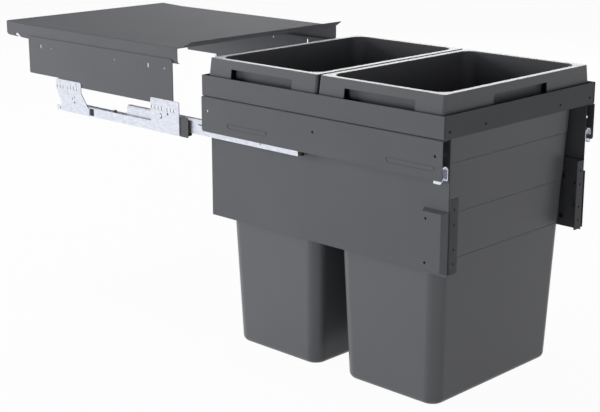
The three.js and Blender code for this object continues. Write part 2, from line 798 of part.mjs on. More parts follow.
function addCarrier(carrier) {
  addPair(carrier, "side_panel", sidePanel(), "coat");
  addPair(carrier, "rail_cover", railCover(), "coat");
  addPair(carrier, "drawer_rail", drawerRail(), "zinc");
  addPair(carrier, "rail_latch", railLatch(), "zinc");
  addPair(carrier, "door_bracket", doorBracket(), "coat");
  addPair(carrier, "bracket_cap", bracketCap(), "coat");
  const [upper, lower] = capScrewPlaces();
  addPair(carrier, "upper_cap_screw", capScrew(upper), "zinc");
  addPair(carrier, "lower_cap_screw", capScrew(lower), "zinc");
  const plate = geometryOf(crossPlate());
  addMesh(carrier, "front_cross_plate", plate, "coat");
  const rear = addMesh(carrier, "rear_cross_plate", plate, "coat");
  rear.rotation.z = Math.PI;
  rear.position.y = carrierLength;
  addBins(carrier);
}

// ---- lid ----

function makeLid() {
  const width = lidOuterX;
  const curlX = width - LID_CURL - 0.6;
  const crease = lidRear - LID_REAR_STRIP;
  const section = foldedSheet(
    [
      [curlX, lidFoot],
      [width, lidFoot, LID_CURL],
      [width, LID_LEVEL],
      [-width, LID_LEVEL],
      [-width, lidFoot, LID_CURL],
      [-curlX, lidFoot],
    ],
    LID_SHEET,
    2.6,
  );
  const main = prism(section, "y", LID_FRONT, crease + 0.5);
  const strip = new THREE.ExtrudeGeometry(section, { depth: LID_REAR_STRIP, bevelEnabled: false });
  strip.applyMatrix4(prismFrames.y).translate(0, lidRear, 0);
  // The rear strip rises from the crease.
  const slope = LID_REAR_RISE / LID_REAR_STRIP;
  const shear = new THREE.Matrix4().makeShear(0, 0, 0, slope, 0, 0);
  strip.applyMatrix4(new THREE.Matrix4().makeTranslation(0, 0, -slope * crease).multiply(shear));
  const lipFront = LID_FRONT - LID_LIP_FORWARD;
  const lip = prism(
    foldedSheet(
      [
        [LID_FRONT + 3, LID_LEVEL],
        [LID_FRONT, LID_LEVEL],
        [lipFront, LID_LEVEL + LID_LIP_RISE],
      ],
      LID_SHEET,
      2,
    ),
    "x",
    LID_SHEET - width,
    width - LID_SHEET,
  );
  const sheet = joined([main, solidOf(strip), lip]);
  const notchY = lidRear - LID_NOTCH_FROM_REAR;
  const notch = centredSlot(notchY, lidFoot, LID_NOTCH, 2 * LID_NOTCH_HEIGHT);
  // The lid's rear foot is rounded; the outline's other corners lie clear of it.
  const clearFront = lipFront - 2 * LID_CORNER;
  const clearTop = LID_LEVEL + LID_LIP_RISE + 2 * LID_CORNER;
  const outline = roundedRect(clearFront, lidFoot, lidRear + 0.01, clearTop, LID_CORNER);
  const frontCorner = polygon([
    [LID_FRONT - 1, lidFoot - 1],
    [LID_FRONT + LID_CORNER, lidFoot - 1],
    [LID_FRONT + LID_CORNER / 3, lidFoot + LID_CORNER / 3],
    [LID_FRONT - 1, lidFoot + LID_CORNER],
  ]);
  const trimmed = sheet.intersect(prism(outline, "x", -wallX, wallX));
  const lipEnd = (side, [atBend, atTip]) =>
    polygon([
      [side * (width - atBend), LID_FRONT],
      [side * (width - atTip), lipFront - 2],
      [side * wallX, lipFront - 2],
      [side * wallX, LID_FRONT],
    ]);
  const lipEnds = [lipEnd(sides.left, LID_LIP_LEFT), lipEnd(sides.right, LID_LIP_RIGHT)];
  return cut(trimmed, [
    prism(notch, "x", -wallX, wallX),
    prism(frontCorner, "x", -wallX, wallX),
    ...lipEnds.map((shape) => prism(shape, "z", LID_LEVEL - 2, LID_LEVEL + 2 * LID_LIP_RISE)),
  ]);
}

// ---- fixed fittings ----

function rivetPlaces() {
  const z = BRACKET_TOP - RIVET_DROP;
  const along = (front, length) => [front + RIVET_INSET, front + length - RIVET_INSET];
  const front = along(FRONT_BRACKET_SETBACK + RIVET_INSET, FRONT_BRACKET_LENGTH - RIVET_INSET);
  const rear = along(REAR_BRACKET_SETBACK, REAR_BRACKET_LENGTH);
  return [...front, ...rear].map((y) => [y, z]);
}

function sidePlate() {
  const stepY = plateRear - PLATE_STEP_FROM_REAR;
  const outline = polygon([
    [PLATE_FRONT, PLATE_FOOT + 4],
    [PLATE_FRONT + 4, PLATE_FOOT],
    [stepY, PLATE_FOOT],
    [stepY + 3, PLATE_FOOT + PLATE_STEP],
    [plateRear - 2, PLATE_FOOT + PLATE_STEP],
    [plateRear, PLATE_FOOT + PLATE_STEP + 2],
    [plateRear, PLATE_TOP - 2],
    [plateRear - 2, PLATE_TOP],
    [PLATE_FRONT + 4, PLATE_TOP],
    [PLATE_FRONT + 1.2, PLATE_TOP - 1.2],
    [PLATE_FRONT, PLATE_TOP - 4],
  ]);
  const sheet = prism(outline, "x", plateInnerX, bracketInnerX);
  const tabTop = lidFoot - SEAT_GAP;
  const tabs = [PLATE_FRONT + PLATE_TAB_FRONT, plateRear - PLATE_TAB_REAR - PLATE_TAB_LENGTH].map((y) =>
    prism(
      foldedSheet(
        [
          [bracketInnerX, tabTop - 6],
          [bracketInnerX, tabTop],
          [plateInnerX - PLATE_TAB_REACH, tabTop],
        ],
        PLATE_SHEET,
      ),
      "y",
      y,
      y + PLATE_TAB_LENGTH,
    ),
  );
  const slots = [PLATE_FRONT + PLATE_SLOT_FRONT, plateRear - PLATE_SLOT_REAR];
  const holes = [...PLATE_HOLES_FRONT.map((y) => PLATE_FRONT + y), plateRear - PLATE_HOLE_REAR];
  const cuts = [
    ...slots.map((y) => centredSlot(y, 1, ...PLATE_SLOT)),
    ...holes.map((y) => disc(y, 0, SMALL_HOLE - 0.4)),
    ...rivetPlaces().map(([y, z]) => disc(y, z, RIVET_RADIUS + SEAT_GAP)),
  ];
  return cut(joined([sheet, ...tabs]), cuts.map(throughX));
}

// A row of upright slots in two groups.
function slotRow(bracketFront, depth, [first, second]) {
  return Array.from({ length: first + second }, (_, k) => {
    const y = bracketFront + SLOT_INSET + k * SLOT_PITCH + (k < first ? 0 : SLOT_SPLIT);
    return centredSlot(y, BRACKET_TOP - depth, ...SLOT_SIZE);
  });
}

function placeOnBracket(front, [setback, drop]) {
  return [front + setback, BRACKET_TOP - drop];
}

function bracket(outline, cuts) {
  const rivets = rivetPlaces().map(([y, z]) => disc(y, z, RIVET_RADIUS + SEAT_GAP));
  return cut(prism(outline, "x", bracketInnerX, wallX), [...cuts, ...rivets].map(throughX));
}

// A cut round three sides of a tab, which stays joined at its rear.
function punchedTab(y, z) {
  const [length, height] = PUNCHED_TAB;
  const front = y - length / 2;
  const rear = y + length / 2;
  const foot = z - height / 2;
  const top = z + height / 2;
  const width = PUNCHED_CUT;
  const around = roundedRect(front, foot, rear, top, PUNCHED_ROUND);
  const tab = roundedRect(front + width, foot + width, rear + width, top - width, 0.6 * PUNCHED_ROUND);
  return throughX(around).subtract(prism(tab, "x", 0, 2 * wallX));
}

function frontBracket() {
  const front = FRONT_BRACKET_SETBACK;
  const rear = front + FRONT_BRACKET_LENGTH;
  const outline = roundedRect(front, BRACKET_FOOT, rear, BRACKET_TOP, 3);
  const plate = bracket(outline, [
    ...slotRow(front, FRONT_SLOT_DEPTH, FRONT_SLOTS),
    disc(...placeOnBracket(front, FRONT_BRACKET_HOLE), BRACKET_HOLE),
  ]);
  return plate.subtract(punchedTab(...placeOnBracket(front, FRONT_BRACKET_TAB)));
}

function rearBracket() {
  const front = REAR_BRACKET_SETBACK;
  const rear = front + REAR_BRACKET_LENGTH;
  const shift = REAR_BRACKET_SHIFT;
  const waist = BRACKET_TOP - REAR_BRACKET_WAIST;
  const hip = BRACKET_TOP - REAR_BRACKET_HIP;
  const outline = polygon([
    [front, BRACKET_TOP - 2],
    [front, waist],
    [front - shift + 5, hip],
    [front - shift, hip - 4],
    [front - shift, BRACKET_FOOT],
    [rear - shift + 2, BRACKET_FOOT],
    [rear - shift + 10, hip + 4],
    [rear, waist + 2],
    [rear, BRACKET_TOP - 2],
    [rear - 2, BRACKET_TOP],
    [front + 2, BRACKET_TOP],
  ]);
  return bracket(outline, [
    ...slotRow(front, REAR_SLOT_DEPTH, REAR_SLOTS),
    ...REAR_BRACKET_SLOTS.map((place) => centredSlot(...placeOnBracket(front, place), ...SHORT_SLOT)),
    disc(...placeOnBracket(front, REAR_BRACKET_HOLE), BRACKET_HOLE),
  ]);
}

function rivet([y, z]) {
  return prism(disc(y, z, RIVET_RADIUS), "x", plateInnerX, wallX);
}

// The window in the rail's outer wall that holds a plastic clip.
const clipWindow = {
  y: REAR_BRACKET_SETBACK - REAR_BRACKET_SHIFT - CLIP_SETBACK,
  z: RAIL_FOOT + CLIP_EDGE,
  length: CLIP_LENGTH,
  height: RAIL_TOP - RAIL_FOOT - 2 * CLIP_EDGE,
};

function cabinetRail() {
  const section = foldedSheet(
    [
      [railInnerX, RAIL_INNER_TOP],
      [railInnerX, RAIL_FOOT],
      [railOuterX, RAIL_FOOT],
      [railOuterX, RAIL_TOP],
      [railOuterX - RAIL_LIP, RAIL_TOP],
    ],
    RAIL_SHEET,
    1.8,
    2,
  );
  const { y, z, length, height } = clipWindow;
  const opening = polygon([
    [y, z],
    [y + length, z],
    [y + length, z + height],
    [y, z + height],
  ]);
  const rear = RAIL_FRONT + RAIL_LENGTH;
  const tailTop = RAIL_FOOT + RAIL_TAIL_HEIGHT;
  const tail = polygon([
    [rear - RAIL_TAIL, RAIL_TOP + 1],
    [rear - RAIL_TAIL + 4, tailTop],
    [rear + 1, tailTop],
    [rear + 1, RAIL_TOP + 1],
  ]);
  const tailHole = disc(rear - RAIL_TAIL / 2, RAIL_FOOT + RAIL_TAIL_HEIGHT / 2, RAIL_HOLE);
  const rail = prism(section, "y", RAIL_FRONT, rear);
  const cuts = [opening, tail, tailHole];
  return cut(rail, cuts.map((shape) => prism(shape, "x", railOuterX - RAIL_LIP - 0.4, wallX)));
}

// The plastic block on the rail's front end: a guide plate beside the carrier, and a frame
// round the catch's nose.
function railEndBlock() {
  const rear = RAIL_FRONT - SEAT_GAP;
  const wall = END_BLOCK_WALL;
  const outer = bracketInnerX - SEAT_GAP;
  const inner = railInnerX + wall / 2;
  const footFront = rear - END_BLOCK_FOOT_LENGTH;
  const footTop = MIDDLE_FOOT - SLIDE_GAP;
  const guide = roundedRect(END_BLOCK_FRONT, RAIL_FOOT, rear, END_BLOCK_TOP, 2);
  const frame = foldedSheet(
    [
      [inner, footTop],
      [inner, RAIL_FOOT],
      [outer, RAIL_FOOT],
      [outer, footTop],
    ],
    wall,
    1.5,
    2,
  );
  return prism(guide, "x", outer - wall, outer).add(prism(frame, "y", footFront, rear));
}

function railClip() {
  const { y, z, length, height } = clipWindow;
  const gap = SEAT_GAP;
  const shape = roundedRect(y + gap, z + gap, y + length - gap, z + height - gap, 1);
  return prism(shape, "x", railOuterX - RAIL_SHEET, railOuterX);
}

function railStud() {
  const y = RAIL_FRONT + RAIL_LENGTH / 2;
  const half = STUD_LENGTH / 2;
  const shape = roundedRect(y - half, RAIL_TOP + SEAT_GAP, y + half, RAIL_TOP + STUD_HEIGHT, 1.5);
  return prism(shape, "x", coverOuterX + SLIDE_GAP, railOuterX);
}

// Both slide along the rail's bed, below the middle rail.
const bedLow = railBedTop + SEAT_GAP;
const bedHigh = MIDDLE_FOOT - SEAT_GAP;
const bedInnerX = railInnerX + RAIL_SHEET + SEAT_GAP;
const bedOuterX = railOuterX - RAIL_SHEET - SEAT_GAP;
const bedMiddleX = (bedInnerX + bedOuterX) / 2;

function damper() {
  const rear = RAIL_FRONT + RAIL_LENGTH - DAMPER_INSET;
  const front = rear - DAMPER_LENGTH;
  const high = bedHigh - SLIDER_PLAY;
  const housing = prism(roundedRect(bedInnerX + 1, bedLow, bedOuterX - 1, high, 2), "y", front, rear);
  return housing.add(prism(disc(bedMiddleX, (bedLow + high) / 2, 1.5), "y", front - DAMPER_ROD, front + 1));
}

function catchSlider() {
  const high = bedHigh - SLIDER_PLAY;
  const body = prism(roundedRect(bedInnerX + 1, bedLow, bedOuterX - 1, high, 1.5), "y", 0, CATCH_LENGTH);
  const hook = polygon([
    [-CATCH_NOSE, bedLow + 0.6],
    [1, bedLow + 0.6],
    [1, bedLow + 4],
    [4 - CATCH_NOSE, bedLow + 3.4],
    [2.6 - CATCH_NOSE, high],
    [-CATCH_NOSE, high],
  ]);
  return body.add(prism(hook, "x", bedMiddleX - 3, bedMiddleX + 3));
}

function rollerCage() {
  const rib = 3;
  const shape = polygon([
    [bedInnerX + 0.6, bedLow],
    [bedInnerX + 0.6 + rib, bedLow],
    [bedInnerX + 0.6 + rib, bedHigh - rib],
    [bedOuterX - 0.6 - rib, bedHigh - rib],
    [bedOuterX - 0.6 - rib, bedLow],
    [bedOuterX - 0.6, bedLow],
    [bedOuterX - 0.6, bedHigh],
    [bedInnerX + 0.6, bedHigh],
  ]);
  return prism(shape, "y", 0, ROLLER_CAGE_LENGTH);
}

function ballCage() {
  const top = DRAWER_RAIL_TOP - RAIL_SHEET - SEAT_GAP;
  const inner = drawerRailInnerX + RAIL_SHEET + SEAT_GAP;
  const bore = middleInnerX - SEAT_GAP;
  const foot = DRAWER_RAIL_INNER_FOOT + RAIL_SHEET + SEAT_GAP;
  const chamfer = DRAWER_RAIL_SHOULDER - (2 - Math.SQRT2) * (RAIL_SHEET + SEAT_GAP);
  const capX = drawerRailOuterX - DRAWER_RAIL_SHOULDER - RAIL_SHEET - SEAT_GAP;
  const strip = prism(
    polygon([
      [inner, foot],
      [bore, foot],
      [bore, MIDDLE_TOP - 0.7],
      [bore + 1, MIDDLE_TOP + SEAT_GAP],
      [capX, MIDDLE_TOP + SEAT_GAP],
      [capX, top],
      [inner + chamfer, top],
      [inner, top - chamfer],
    ]),
    "y",
    0,
    BALL_CAGE_LENGTH,
  );
  const level = (foot + MIDDLE_TOP) / 2;
  const balls = BALL_PLACES.map((share) => disc(BALL_CAGE_LENGTH * share, level, BALL_HOLE));
  return cut(strip, balls.map((ball) => prism(ball, "x", inner - 1, bore + 1)));
}

function middleRail() {
  const section = foldedSheet(
    [
      [middleOuterX, MIDDLE_FOOT],
      [middleOuterX, MIDDLE_STEP],
      [middleNeckX, MIDDLE_TOP],
      [middleInnerX, MIDDLE_TOP],
      [middleInnerX, MIDDLE_FOOT],
    ],
    RAIL_SHEET,
    1.6,
    2,
  );
  const rail = prism(section, "y", 0, MIDDLE_LENGTH);
  const outside = (shape) => prism(shape, "x", middleOuterX - 3.5, wallX);
  return cut(rail, [
    outside(centredSlot(MIDDLE_SLOT_SETBACK, MIDDLE_STEP - MIDDLE_SLOT_DROP, ...MIDDLE_SLOT)),
    outside(disc(MIDDLE_HOLE_SETBACK, MIDDLE_STEP - MIDDLE_HOLE_DROP, RAIL_HOLE)),
  ]);
}

function middleBumper() {
  const gap = SEAT_GAP + RAIL_SHEET;
  const shape = roundedRect(middleInnerX + gap, MIDDLE_FOOT + 1, middleOuterX - gap, MIDDLE_FOOT + 10, 1);
  return prism(shape, "y", -BUMPER_LENGTH, 2 * BUMPER_LENGTH);
}

// ---- assembly ----

const root = new THREE.Group();

const fittings = new THREE.Group();
root.add(fittings);
addPair(fittings, "side_plate", sidePlate(), "coat");
addPair(fittings, "front_bracket", frontBracket(), "zinc");
addPair(fittings, "rear_bracket", rearBracket(), "zinc");
addPair(fittings, "cabinet_rail", cabinetRail(), "zinc");
addPair(fittings, "rail_end_block", railEndBlock(), "black");
addPair(fittings, "rail_clip", railClip(), "black");
addPair(fittings, "rail_stud", railStud(), "black");
addPair(fittings, "damper", damper(), "black");
const rivetNames = ["front_rivet_a", "front_rivet_b", "rear_rivet_a", "rear_rivet_b"];
rivetPlaces().forEach((place, i) => addPair(fittings, rivetNames[i], rivet(place), "zinc"));
addMesh(fittings, "lid", geometryOf(makeLid()), "coat");

// Pieces on the runners stand where the pull-out has carried them.
function runnerGroup(restY) {
  const group = new THREE.Group();
  group.position.y = restY;
  root.add(group);
  return group;
}

const catches = runnerGroup(CATCH_FRONT);
addPair(catches, "soft_close_catch", catchSlider(), "black");
const rollerCages = runnerGroup(CATCH_FRONT + CATCH_LENGTH + CATCH_TRAVEL + 4);
addPair(rollerCages, "roller_cage", rollerCage(), "black");
const middleRails = runnerGroup(MIDDLE_CLOSED_FRONT - TRAVEL / 2);
addPair(middleRails, "middle_rail", middleRail(), "zinc");
addPair(middleRails, "middle_bumper", middleBumper(), "black");
const ballCages = runnerGroup(MIDDLE_CLOSED_FRONT - TRAVEL / 2 + BALL_CAGE_SETBACK);
addPair(ballCages, "ball_cage", ballCage(), "black");
const carrier = runnerGroup(-TRAVEL);
addCarrier(carrier);

export default root;
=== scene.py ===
import json
import math

import bmesh
import bpy
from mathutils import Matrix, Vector


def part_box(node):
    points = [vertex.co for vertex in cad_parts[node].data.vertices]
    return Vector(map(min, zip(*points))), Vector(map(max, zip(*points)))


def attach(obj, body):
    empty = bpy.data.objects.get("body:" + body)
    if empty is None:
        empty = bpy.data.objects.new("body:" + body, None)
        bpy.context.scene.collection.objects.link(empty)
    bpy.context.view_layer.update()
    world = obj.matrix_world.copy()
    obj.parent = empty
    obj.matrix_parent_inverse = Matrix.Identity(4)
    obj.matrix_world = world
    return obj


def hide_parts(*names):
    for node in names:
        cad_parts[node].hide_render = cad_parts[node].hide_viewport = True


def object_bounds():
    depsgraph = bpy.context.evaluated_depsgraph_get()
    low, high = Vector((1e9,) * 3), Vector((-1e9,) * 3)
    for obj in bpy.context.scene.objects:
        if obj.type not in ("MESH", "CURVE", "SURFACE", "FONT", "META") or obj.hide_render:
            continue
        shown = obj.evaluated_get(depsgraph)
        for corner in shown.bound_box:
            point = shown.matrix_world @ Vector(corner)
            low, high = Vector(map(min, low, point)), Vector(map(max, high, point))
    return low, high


print("frame: loading the packed unit")
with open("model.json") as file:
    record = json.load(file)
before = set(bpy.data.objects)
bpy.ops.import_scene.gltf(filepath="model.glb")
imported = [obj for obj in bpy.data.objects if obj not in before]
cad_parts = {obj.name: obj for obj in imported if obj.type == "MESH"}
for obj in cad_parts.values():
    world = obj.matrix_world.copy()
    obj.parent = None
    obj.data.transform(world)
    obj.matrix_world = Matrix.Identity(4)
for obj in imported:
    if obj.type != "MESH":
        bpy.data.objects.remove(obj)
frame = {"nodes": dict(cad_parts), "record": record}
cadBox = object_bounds()
nodes = frame["nodes"]
slotOf = {part["node"]: part["material_slot"] for part in frame["record"]["subparts"]}
bodyOf = {
    node: body
    for body, members in frame["record"]["behaviour"]["bodies"].items()
    for node in members
}
mm = 0.001


def addToScene(name, data):
    made = bpy.data.objects.new(name, data)
    bpy.context.scene.collection.objects.link(made)
    return made


def lookAlong(piece, direction):
    piece.rotation_mode = "QUATERNION"
    piece.rotation_quaternion = direction.to_track_quat("-Z", "Y")


def addNode(tree, kind, values=None, links=None, **settings):
    # values and links go to the node's sockets, settings to the node itself
    made = tree.nodes.new(kind)
    for name, value in settings.items():
        setattr(made, name, value)
    for socket, value in (values or {}).items():
        made.inputs[socket].default_value = value
    for socket, source in (links or {}).items():
        tree.links.new(source, made.inputs[socket])
    return made


# camera: in front of the unit and to its left

photoView = {
    "place": (-1.7536, -1.7659, 0.3952),
    "turn": -46.15,  # degrees round the unit, 0 looks straight into the cabinet
    "height": 15.17,  # degrees above the horizon
    "lens": 82.3,
    "sensor": 36.0,
    "near": 0.05,
    "far": 60,
}


def makeCamera():
    data = bpy.data.cameras.new("photoCamera")
    data.sensor_fit = "HORIZONTAL"
    data.sensor_width = photoView["sensor"]
    data.lens = photoView["lens"]
    data.clip_start = photoView["near"]
    data.clip_end = photoView["far"]
    camera = addToScene("photoCamera", data)
    camera.location = photoView["place"]
    turn, height = math.radians(photoView["turn"]), math.radians(photoView["height"])
    flat = math.cos(height)
    lookAlong(camera, Vector((-math.sin(turn) * flat, math.cos(turn) * flat, -math.sin(height))))
    bpy.context.scene.camera = camera


print("camera: setting the view")
makeCamera()


# finishes

finishes = {
    "coat": {  # powder coat of the folded sheets
        "tone": (0.130, 0.133, 0.143),
        "shade": 0.95,  # the darkest clouding, as a share of the tone
        "cloud": 9,  # clouds a metre
        "rough": (0.62, 0.72),
        "gloss": 0.06,
        "metal": 0,
        "grain": 1500,  # grains a metre
        "bump": 0.10,
        "depth": 0.06 * mm,
        "stretch": (1, 1, 1),
    },
    "bin": {  # fine-grained moulded plastic
        "tone": (0.118, 0.121, 0.130),
        "shade": 0.96,
        "cloud": 6,
        "rough": (0.30, 0.40),
        "gloss": 0.30,
        "metal": 0,
        "grain": 2300,
        "bump": 0.07,
        "depth": 0.04 * mm,
        "stretch": (1, 1, 1),
    },
    "zinc": {  # bright plated strip
        "tone": (0.86, 0.89, 0.98),
        "shade": 0.82,
        "cloud": 260,
        "rough": (0.34, 0.50),
        "gloss": 0.5,
        "metal": 1,
        "grain": 900,
        "bump": 0.05,
        "depth": 0.03 * mm,
        "stretch": (1, 0.35, 1),  # drawn out along the rolled strip
    },
    "black": {  # small plastic fittings and screws
        "tone": (0.012, 0.012, 0.013),
        "shade": 0.8,
        "cloud": 20,
        "rough": (0.4, 0.55),
        "gloss": 0.4,
        "metal": 0,
        "grain": 2000,
        "bump": 0.08,
        "depth": 0.04 * mm,
        "stretch": (1, 1, 1),
    },
}
finishes["block"] = {**finishes["black"], "tone": (0.085, 0.085, 0.09), "rough": (0.35, 0.5)}
noiseDetail = {"cloud": 4, "grain": 3}
noiseSpan = (0.3, 0.7)  # where nearly all of a noise's values lie


def makeFinish(name, finish):
    material = bpy.data.materials.new(name)
    material.use_nodes = True
    tree = material.node_tree
    place = addNode(tree, "ShaderNodeTexCoord")
    scale = {"Scale": finish["stretch"]}
    drawn = addNode(tree, "ShaderNodeMapping", scale, {"Vector": place.outputs["Object"]})

    def noise(kind):
        look = {"Scale": finish[kind], "Detail": noiseDetail[kind]}
        made = addNode(tree, "ShaderNodeTexNoise", look, {"Vector": drawn.outputs["Vector"]})
        return made.outputs["Fac"]

    def spread(source, ends):
        # draws the noise out between the two ends
        ranges = {"From Min": noiseSpan[0], "From Max": noiseSpan[1], "To Min": ends[0], "To Max": ends[1]}
        return addNode(tree, "ShaderNodeMapRange", ranges, {"Value": source}).outputs["Result"]

    cloud, grain = noise("cloud"), noise("grain")
    dark = (*(part * finish["shade"] for part in finish["tone"]), 1)
    tones = {"A": dark, "B": (*finish["tone"], 1)}
    tone = addNode(tree, "ShaderNodeMix", tones, {"Factor": spread(cloud, (0, 1))}, data_type="RGBA")
    relief = {"Strength": finish["bump"], "Distance": finish["depth"]}
    bump = addNode(tree, "ShaderNodeBump", relief, {"Height": grain})

    shader = tree.nodes["Principled BSDF"]
    shader.inputs["Metallic"].default_value = finish["metal"]
    shader.inputs["Specular IOR Level"].default_value = finish["gloss"]
    tree.links.new(tone.outputs["Result"], shader.inputs["Base Color"])
    tree.links.new(spread(grain, finish["rough"]), shader.inputs["Roughness"])
    tree.links.new(bump.outputs["Normal"], shader.inputs["Normal"])
    return material


materials = {name: makeFinish(name, finish) for name, finish in finishes.items()}


def giveFinish(piece, name):
    piece.data.materials.clear()
    piece.data.materials.append(materials[name])


# sheet, rail and small plastic pieces keep their solids and get broken edges

solidEdges = {
    "width": {"coat": 0.3 * mm, "zinc": 0.25 * mm, "black": 0.4 * mm},
    "fold": 32,  # degrees: flatter corners belong to a bend and stay smooth
    "flat": 0.4,  # degrees: faces this close to one plane are joined
    "weld": 0.002 * mm,
    # pieces whose finish isn't their slot's own, by the name after the side
    "ownFinish": {"rail_end_block": "block", "upper_cap_screw": "black", "lower_cap_screw": "black"},
}


def shadeSmooth(mesh):
    for face in mesh.polygons:
        face.use_smooth = True


def roundEdges(piece, width, angle):
    edge = piece.modifiers.new("roundEdge", "BEVEL")
    edge.width = width
    edge.segments = 2
    edge.limit_method = "ANGLE"
    edge.angle_limit = math.radians(angle)
    shade = piece.modifiers.new("evenShade", "WEIGHTED_NORMAL")
    shade.keep_sharp = False


def finishSolid(node):
    slot = slotOf[node]
    piece = nodes[node]
    giveFinish(piece, solidEdges["ownFinish"].get(node.partition("_")[2], slot))
    stored = piece.data.attributes.get("custom_normal")
    if stored:
        piece.data.attributes.remove(stored)
    shadeSmooth(piece.data)
    weld = piece.modifiers.new("weld", "WELD")
    weld.merge_threshold = solidEdges["weld"]
    flat = piece.modifiers.new("flatFaces", "DECIMATE")
    flat.decimate_type = "DISSOLVE"
    flat.angle_limit = math.radians(solidEdges["flat"])
    roundEdges(piece, solidEdges["width"][slot], solidEdges["fold"])


binNodes = ["front_bin", "rear_bin"]
print("sheet metal, rails and fittings: finishing", len(nodes) - len(binNodes), "pieces")
for node in nodes:
    if node not in binNodes:
        finishSolid(node)


# bins: one moulding each, rim turned over into a skirt with finger slots

binForm = {
    "wall": 2.5 * mm,
    "floor": 3 * mm,
    "rimWidth": 12 * mm,
    "rimRound": 1.2 * mm,
    "rimCorner": 5 * mm,
    "skirtSpread": (8 * mm, 2.4 * mm),  # how far the skirt leans out, along X and Y
    "skirtFoot": -34.5 * mm,  # its level
    "skirtEdge": 0.7 * mm,
    # the edge's outer round, from above: insets in X, in Y and of the corner, and rise, as shares of the edge
    "skirtEdgeShares": ((0.13, 0.04, 0, 1), (0.4, 0.35, 0.35, 0.2), (1, 1, 1, 0)),
    "taper": (20 * mm, 17.8 * mm),  # how far the body leans in, along X and Y
    "bodyCorner": 24 * mm,
    "footRound": 10 * mm,
    "stackLines": (110 * mm, 190 * mm, 265 * mm),  # below the rim
    "stackStep": 0.5 * mm,  # the body narrows by it at each line
    "grooveWidth": 1.6 * mm,
    "grooveDepth": 0.8 * mm,
    "slotLength": 142 * mm,
    "slotHeight": 25 * mm,
    "slotDrop": 14.2 * mm,  # its top below the rim
    "slotCorner": 1.2 * mm,
    "slotReach": 20 * mm,  # how far the cut reaches outward
    "edgeRound": 0.4 * mm,
    "edgeAngle": 40,  # degrees
    "steps": {"corner": 10, "insideFoot": 6, "rim": 5, "groove": 10, "outsideFoot": 7, "slotCorner": 3},
}


def quarterArc(steps):
    # cosine and sine at even steps over a quarter turn
    angles = [k / steps * math.pi / 2 for k in range(steps + 1)]
    return [(math.cos(angle), math.sin(angle)) for angle in angles]


def roundedOutline(middle, half, corner, steps):
    # a rectangle with rounded corners, anticlockwise from its first side
    points = []
    for quarter, (su, sv) in enumerate(((1, 1), (-1, 1), (-1, -1), (1, -1))):
        for k in range(steps + 1):
            angle = (quarter + k / steps) * math.pi / 2
            u = su * (half[0] - corner) + corner * math.cos(angle) + middle[0]
            v = sv * (half[1] - corner) + corner * math.sin(angle) + middle[1]
            points.append((u, v))
    return points


def solidMesh(name, bodies):
    # each body is a stack of rings with as many points, closed at both ends
    form = bmesh.new()
    for rings in bodies:
        loops = [[form.verts.new(point) for point in ring] for ring in rings]
        count = len(loops[0])
        form.faces.new(loops[0])
        for lower, upper in zip(loops, loops[1:]):
            for k in range(count):
                after = (k + 1) % count
                form.faces.new((lower[k], upper[k], upper[after], lower[after]))
        form.faces.new(reversed(loops[-1]))
    bmesh.ops.recalc_face_normals(form, faces=form.faces)
    mesh = bpy.data.meshes.new(name)
    form.to_mesh(mesh)
    form.free()
    return mesh


def binSizes(node):
    # what the rings of one bin are set out from
    low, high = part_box(node)
    foot = (high.x - low.x) / 2, (high.y - low.y) / 2
    return {
        "middle": (low.y + high.y) / 2,
        "top": high.z,
        "height": high.z - low.z,
        "foot": foot,  # half the skirt's foot, along X and Y
        "rim": [side - spread for side, spread in zip(foot, binForm["skirtSpread"])],
    }


def binRing(sizes, half, corner, z):
    outline = roundedOutline((0, sizes["middle"]), half, corner, binForm["steps"]["corner"])
    return [(x, y, z) for x, y in outline]


def bodyHalf(sizes, depth):
    # half the body, outside, at a depth below the rim
    share = depth / sizes["height"]
    steps = sum(
        binForm["stackStep"] * min(1, max(0, (depth - line) / binForm["grooveWidth"]))
        for line in binForm["stackLines"]
    )
    inset = binForm["rimWidth"] - binForm["wall"]
    return [rim - inset - taper * share - steps for rim, taper in zip(sizes["rim"], binForm["taper"])]


def bodyRing(sizes, depth, inset=0.0):
    half = [side - inset for side in bodyHalf(sizes, depth)]
    return binRing(sizes, half, binForm["bodyCorner"] - inset, sizes["top"] - depth)


def insideRings(sizes):
    # floor, rounded foot and wall, up over the rim's inner edge
    wall, rise = binForm["wall"], binForm["rimRound"]
    foot = binForm["footRound"] - wall
    floorDepth = sizes["height"] - binForm["floor"]
    rings = [
        bodyRing(sizes, floorDepth - foot * (1 - cos), wall + foot * (1 - sin))
        for cos, sin in quarterArc(binForm["steps"]["insideFoot"])
    ]
    mouth = [side - wall for side in bodyHalf(sizes, 0)]
    corner = binForm["bodyCorner"] - wall
    for cos, sin in quarterArc(binForm["steps"]["rim"]):
        out = rise * (1 - cos)
        half = [side + out for side in mouth]
        rings.append(binRing(sizes, half, corner + out / 2, sizes["top"] - rise + rise * sin))
    return rings


def rimRings(sizes):
    # over the rim's outer edge, down the skirt and back up inside it
    top, corner, wall = sizes["top"], binForm["rimCorner"], binForm["wall"]
    rings = []
    for cos, sin in quarterArc(binForm["steps"]["rim"]):
        inset = binForm["rimRound"] * (1 - sin)
        half = [side - inset for side in sizes["rim"]]
        rings.append(binRing(sizes, half, corner - inset, top - binForm["rimRound"] * (1 - cos)))
    foot, edge = binForm["skirtFoot"], binForm["skirtEdge"]
    for insetX, insetY, insetCorner, rise in binForm["skirtEdgeShares"]:
        half = sizes["foot"][0] - edge * insetX, sizes["foot"][1] - edge * insetY
        rings.append(binRing(sizes, half, corner - edge * insetCorner, foot + edge * rise))
    for outer, z in ((sizes["foot"], foot), (sizes["rim"], top - wall)):
        rings.append(binRing(sizes, [side - wall for side in outer], corner - wall, z))
    return rings


